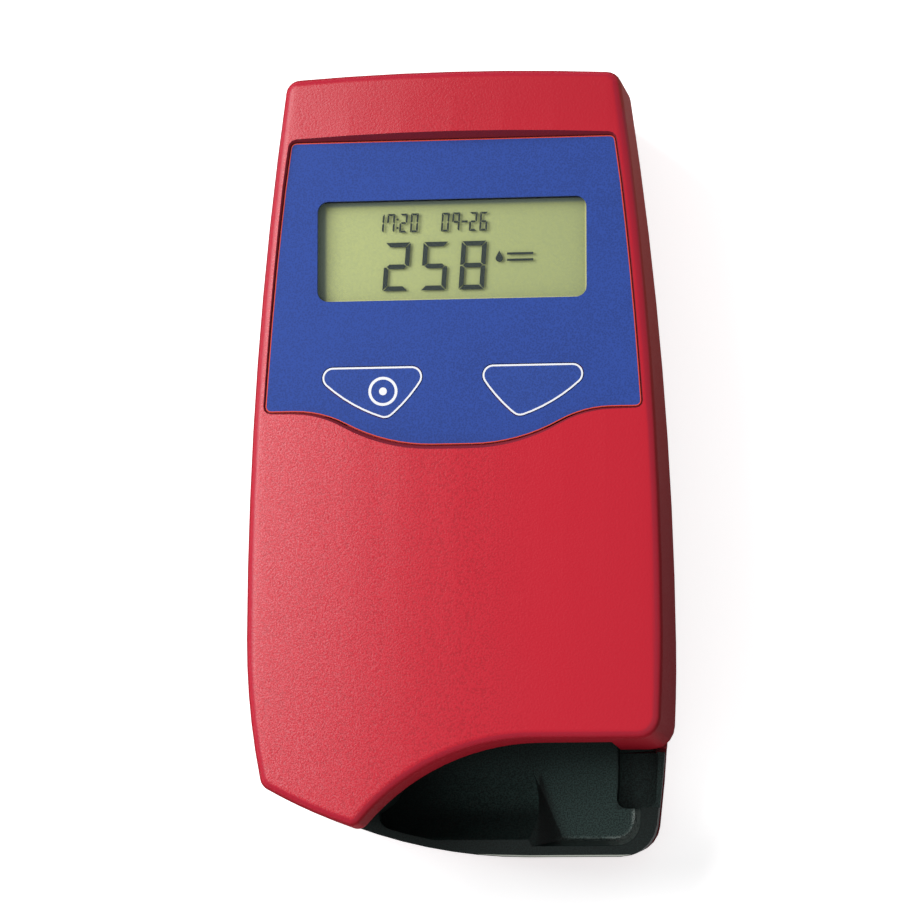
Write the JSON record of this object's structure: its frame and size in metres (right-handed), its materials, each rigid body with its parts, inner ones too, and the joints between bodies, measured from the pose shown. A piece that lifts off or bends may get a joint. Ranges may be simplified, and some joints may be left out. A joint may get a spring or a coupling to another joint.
{
  "type": "blood glucose meter",
  "caption": "Bench-top blood glucose meter: crowned two-part housing, sunken display panel with keys and a swing-out cuvette arm leading to a built-in photometer.",
  "frame": {"origin": "bottom centre of the bounding box, on the table under the middle of the housing", "axes": "+Z out of the display face, +Y to the display end, +X to the right of the display"},
  "size_m": [0.086, 0.16, 0.043],
  "materials": {
    "housing_red": "satin, fine grain",
    "foil_blue": "fine matt foil",
    "black": "fine grain",
    "white_plastic": "moulded",
    "clear": "clear",
    "lcd": "reflective display back",
    "segment": "printed",
    "board": "solder mask",
    "steel": "plain",
    "brass": "turned",
    "rubber": "moulded",
    "cell": "sleeved"
  },
  "bodies": {
    "housing": {"top_cover": "housing_red", "back_housing": "housing_red", "housing_screws": "steel", "rubber_feet": "rubber", "front_panel": "foil_blue", "left_switch": "black", "right_switch": "black", "display_window": "clear", "display_front_glass": "clear", "display_segments": "segment", "display_rear_glass": "clear", "display_reflector": "lcd", "display_frame": "white_plastic", "contact_strips": "rubber", "main_board": "board", "board_screws": "steel", "processor_chip": "black", "buzzer": "black", "power_socket": "black", "data_socket": "steel", "battery_cell_1": "cell", "battery_cell_2": "cell", "battery_cell_3": "cell", "battery_cell_4": "cell", "battery_contacts": "steel", "arm_pivot_pin": "steel", "arm_washer": "brass", "arm_detent_spring": "steel", "arm_sensor": "black", "optics_fork": "black", "lamp_board": "board", "light_emitter": "clear", "collimator_lens": "clear", "detector_board": "board", "light_detector": "black", "optics_screws": "steel"},
    "arm": {"cuvette_arm": "black"},
    "left_key": {"left_key": "foil_blue", "left_plunger": "white_plastic"},
    "right_key": {"right_key": "foil_blue", "right_plunger": "white_plastic"},
    "battery_door": {"battery_door": "housing_red"}
  },
  "joints": [
    {"name": "arm_swing", "type": "hinge", "parent": "housing", "child": "arm", "pos_m": [-0.0235, -0.0615, 0.015], "axis": [0, 0, -1], "range_deg": [0, 30]},
    {"name": "left_key_press", "type": "slide", "parent": "housing", "child": "left_key", "axis": [0, 0, -1], "range_m": [0, 0.0004], "stiffness_N_per_m": 1500, "springref_m": -0.0002},
    {"name": "right_key_press", "type": "slide", "parent": "housing", "child": "right_key", "axis": [0, 0, -1], "range_m": [0, 0.0004], "stiffness_N_per_m": 1500, "springref_m": -0.0002},
    {"name": "door_slide", "type": "slide", "parent": "housing", "child": "battery_door", "axis": [0, 1, 0], "range_m": [0, 0.056]}
  ]
}
